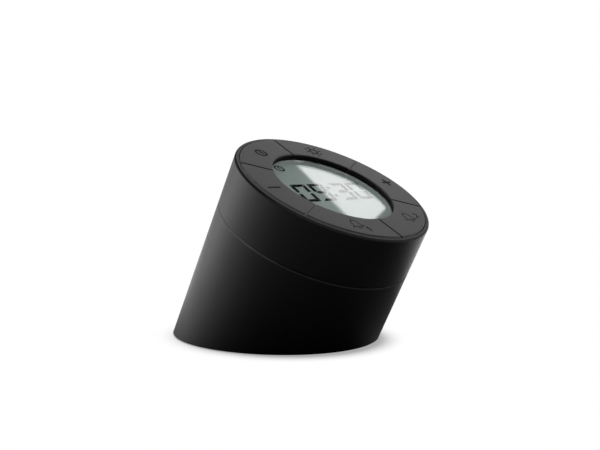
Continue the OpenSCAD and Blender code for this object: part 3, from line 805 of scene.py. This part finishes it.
def recesses(name, screws, body, facing):
    """The cross recesses of a node's screws, whose heads face along a vector."""
    middles = []
    for corners in loose_parts(screws):
        far = max(c.dot(facing) for c in corners)
        middles.append(middle_of([c for c in corners if c.dot(facing) > far - 0.01 * MM]))
    mesh = bpy.data.meshes.new(name)
    mesh.from_pydata(middles, [], [])
    heads = linked(name + "_heads", mesh)
    modifier = heads.modifiers.new("crosses", "NODES")
    modifier.node_group = recess_nodes
    values = dict(RECESS, Facing=facing)
    for socket in recess_nodes.interface.items_tree:
        if socket.in_out == "INPUT" and socket.name in values:
            modifier[socket.identifier] = values[socket.name]
    seen = heads.evaluated_get(bpy.context.evaluated_depsgraph_get())
    made = linked(name, bpy.data.meshes.new_from_object(seen))
    bpy.data.objects.remove(heads)
    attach(made, body)


DOWN = Vector((0, 0, -1))
recesses("door_screw_crosses", "door_screws", "battery_door", DOWN)
recesses("base_screw_crosses", "base_screws", "housing", DOWN)
recesses("housing_screw_crosses", "housing_screws", "housing", -UP)
recesses("board_screw_crosses", "board_screws", "housing", -UP)


# ---- Keypad mats, domes and pills ----

# A dome's height over its mat, less the collar that stays on the mat, in mm
DOME_RISE = 1.48
DOME_REACH = 4.0
CUT_AT = on_axis(0, 0, top_of("silicone_keypad") - DOME_RISE)


def cut_keypad(upper):
    """The domes or the mats: the keypad cut square to the axis and closed again."""
    mesh = merged("silicone_keypad")
    cut = bmesh.ops.bisect_plane(
        mesh, geom=mesh.verts[:] + mesh.edges[:] + mesh.faces[:], plane_co=CUT_AT, plane_no=UP,
        clear_outer=not upper, clear_inner=upper)["geom_cut"]
    bmesh.ops.triangle_fill(mesh, edges=[e for e in cut if isinstance(e, bmesh.types.BMEdge)])
    bmesh.ops.recalc_face_normals(mesh, faces=mesh.faces)
    return mesh


def keep_near(mesh, middle):
    """Leaves only what stands round a point, within the reach of one dome."""
    bmesh.ops.delete(mesh, context="VERTS", geom=[
        v for v in mesh.verts if (v.co - middle).cross(UP).length > DOME_REACH * MM])
    return mesh


def key_over(middle):
    """The key that stands over a point of the keypad."""
    return min((name for name in nodes if name.startswith("key_")),
               key=lambda name: (middle_of(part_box(name)) - middle).cross(UP).length)


mats = as_piece("keypad_mats", cut_keypad(upper=False), "housing", finishes["keypad_rubber"])
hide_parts("silicone_keypad")
# Each dome stays on the housing, and its pill goes down with the key
for corners in loose_parts("contact_pills"):
    middle = middle_of(corners)
    key = key_over(middle)
    dome = as_piece(key + "_dome", keep_near(cut_keypad(upper=True), middle), "housing",
                    finishes["keypad_rubber"])
    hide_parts("silicone_keypad")
    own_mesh(dome)
    pill = as_piece(key + "_pill", keep_near(merged("contact_pills"), middle), key,
                    finishes["carbon"])
    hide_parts("contact_pills")


# ---- Camera ----

CAMERA_AT = Vector((-0.2626, AXIS_FOOT_Y - 0.2720, 0.0754))
YAW, PITCH = math.radians(45.63), math.radians(4.51)
LENS = 54.87

camera = bpy.data.cameras.new("camera")
camera.lens = LENS
camera.sensor_width = 36.0
camera.clip_start = 0.01
camera.clip_end = 20.0
camera_object = linked("camera", camera)
camera_object.location = CAMERA_AT
camera_object.rotation_euler = (math.pi / 2 - PITCH, 0, -YAW)
bpy.context.scene.camera = camera_object


# ---- Floor ----

FLOOR_HALF = 3.0
# The shade close round the foot, by how far it reaches in metres
SHADE_REACH, SHADE_DEPTH, DARKEST = 0.011, 1.6, 0.40
# What the walls mirror of the floor, by the distance from the foot in metres
GLOSS_NEAR, GLOSS_FAR, NEAR_LEVEL, FAR_LEVEL = 0.045, 0.13, 0.03, 1.0
FRONT_RIGHT_LEVEL = 0.40
MIDDLE_GAIN, LEFT_GAIN, RIGHT_GAIN = 0.85, 0.6, 3.1
# The broad highlight on the walls' left, by degrees from its heading
BROAD_HEADING, BROAD_NEAR, BROAD_FAR, BROAD_GAIN, BROAD_REST = -58, 6, 34, 1.36, 0.82


def heading(azimuth, elevation):
    """Direction from the object: azimuth from +Y toward +X, then up, in degrees."""
    a, e = math.radians(azimuth), math.radians(elevation)
    return Vector((math.sin(a) * math.cos(e), math.cos(a) * math.cos(e), math.sin(e)))


def cosine(degrees):
    return math.cos(math.radians(degrees))


def mirrored_level(f):
    """How bright the floor is to the walls that mirror it."""
    outward = f.add("ShaderNodeVectorMath", {"operation": "SUBTRACT"}, {
        0: f.here(), 1: (0, AXIS_FOOT_Y, 0)})
    away = f.add("ShaderNodeVectorMath", {"operation": "LENGTH"}, {0: outward}, out="Value")
    x, y, _ = f.apart(outward)
    level = f.fit(away, GLOSS_NEAR, GLOSS_FAR, NEAR_LEVEL, FAR_LEVEL)
    # In front on the right the floor is as bright near the foot as farther out
    front_right = (f.fit(x, -0.004, 0.014, 0.0, 1.0) * f.fit(y, -0.015, -0.035, 0.0, 1.0)
                   * f.fit(x, 0.055, 0.09, 1.0, 0.3))
    level = level + front_right * (FRONT_RIGHT_LEVEL - level)
    left = f.fit(x, -0.03, -0.11, 0.0, LEFT_GAIN)
    right = f.fit(f.along(outward, heading(75, 0)), 0.05, 0.13, 0.0, RIGHT_GAIN)
    broad = f.fit(f.along(outward, heading(BROAD_HEADING, 0)) / away,
                  cosine(BROAD_FAR), cosine(BROAD_NEAR), BROAD_REST, BROAD_GAIN, "SMOOTHSTEP")
    return level * (MIDDLE_GAIN + left + right) * broad


def floor_finish():
    """Pale floor that the camera sees as white, with the shade close round the object kept."""
    f = new_finish("floor")
    open_sky = f.add("ShaderNodeAmbientOcclusion", {"samples": 16}, {"Distance": SHADE_REACH},
                     out="AO")
    closed = 1.0 - open_sky
    tone = (1.0 - closed * closed * SHADE_DEPTH).at_least(DARKEST)
    seen = f.add("ShaderNodeEmission", {}, {"Color": grey(1.0), "Strength": tone})
    lit = f.add("ShaderNodeBsdfDiffuse", {}, {"Color": grey(0.8)})
    mirrored = f.add("ShaderNodeEmission", {}, {"Strength": mirrored_level(f)})
    path = f.add("ShaderNodeLightPath", out="Is Camera Ray")
    shader = f.either(path + path.sister("Is Transmission Ray"), lit, seen)
    return f.surface(f.either(path.sister("Is Glossy Ray"), shader, mirrored))


floor = bpy.data.meshes.new("floor")
floor.from_pydata([(x * FLOOR_HALF, y * FLOOR_HALF, 0) for x, y in (
    (-1, -1), (1, -1), (1, 1), (-1, 1))], [], [(0, 1, 2, 3)])
floor.materials.append(floor_finish())
linked("floor", floor)


# ---- Room: the light from all round, with its panels as directions in the world ----

FLAG_LEVEL = 0.0
BOX_LEVEL = 1.9
SIDE_LEVEL = 8.5
READER_LEVEL = 0.32
# Headings, and the radius and blurred edge of each round panel, in degrees
BOX_AT, BOX_SPAN = (78, 48), (22.0, 8.0)
SIDE_AT, SIDE_SPAN = (-34, 8), (16.0, 27.0)
FLAG_SPAN = (7.0, 3.0)
# The dim side grows between these cosines with the direction toward the reader
READER_SPAN = (-0.65, 0.35)
# Where the dark flag and the soft box's two straight edges show on the window, in mm
FLAG_ON_WINDOW = (-14, 2)
BOX_LEFT = ((-8.5, -14.5), (-0.6, 21.8))
BOX_BELOW = ((5.8, -20.4), (20.3, -13.6))
IN_BOX = (20, 10)
EDGE_BLUR = 0.25

# The window mirrors what an eye turned over at it would see
mirrored_eye = CAMERA_AT - 2 * (CAMERA_AT - on_axis(0, 0, WINDOW_TOP_U)).dot(UP) * UP


def mirrored_heading(x, y):
    """Direction of what shows at a place on the window."""
    return (on_axis(x, y, WINDOW_TOP_U) - mirrored_eye).normalized()


def studio_room():
    """A white room with a bright side panel, a soft box, a dark flag and a dim reader's side."""
    f = Finish(bpy.data.worlds.new("studio"))
    direction = f.add("ShaderNodeTexCoord", out="Generated")

    def cap(middle, radius, edge):
        """1 within that many degrees of a heading, falling to 0 over the edge."""
        return f.fit(f.along(direction, middle), cosine(radius + edge), cosine(radius),
                     0.0, 1.0, "SMOOTHSTEP")

    def box_side(first, second):
        """1 on the soft box's side of the line on the window from first to second."""
        normal = mirrored_heading(*first).cross(mirrored_heading(*second)).normalized()
        if mirrored_heading(*IN_BOX).dot(normal) < 0:
            normal = -normal
        half = math.sin(math.radians(EDGE_BLUR / 2))
        return f.fit(f.along(direction, normal), -half, half, 0.0, 1.0, "SMOOTHSTEP")

    flag = cap(mirrored_heading(*FLAG_ON_WINDOW), *FLAG_SPAN)
    side = cap(heading(*SIDE_AT), *SIDE_SPAN)
    toward = (CAMERA_AT - on_axis(0, 0, FACE_U)).normalized()
    reader = f.fit(f.along(direction, toward), *READER_SPAN, 0.0, 1.0, "SMOOTHSTEP")
    soft_box = box_side(*BOX_LEFT) * box_side(*BOX_BELOW) * cap(heading(*BOX_AT), *BOX_SPAN)
    room = 1.0 - reader * (1.0 - READER_LEVEL)
    room = room + side * (SIDE_LEVEL - room)
    # Plain white shows through clear plastic, but not over the flag and the soft box
    seen = f.add("ShaderNodeLightPath", out="Is Camera Ray")
    shown = seen + seen.sister("Is Transmission Ray")
    room = room + shown * (1.0 - room)
    room = room + flag * (FLAG_LEVEL - room)
    room = room + soft_box * (BOX_LEVEL - room)
    # The camera itself sees plain white all round
    room = room + seen * (1.0 - room)
    return f.surface(f.add("ShaderNodeBackground", {}, {"Color": grey(1.0), "Strength": room}))


bpy.context.scene.world = studio_room()
bpy.context.scene.view_settings.view_transform = "Standard"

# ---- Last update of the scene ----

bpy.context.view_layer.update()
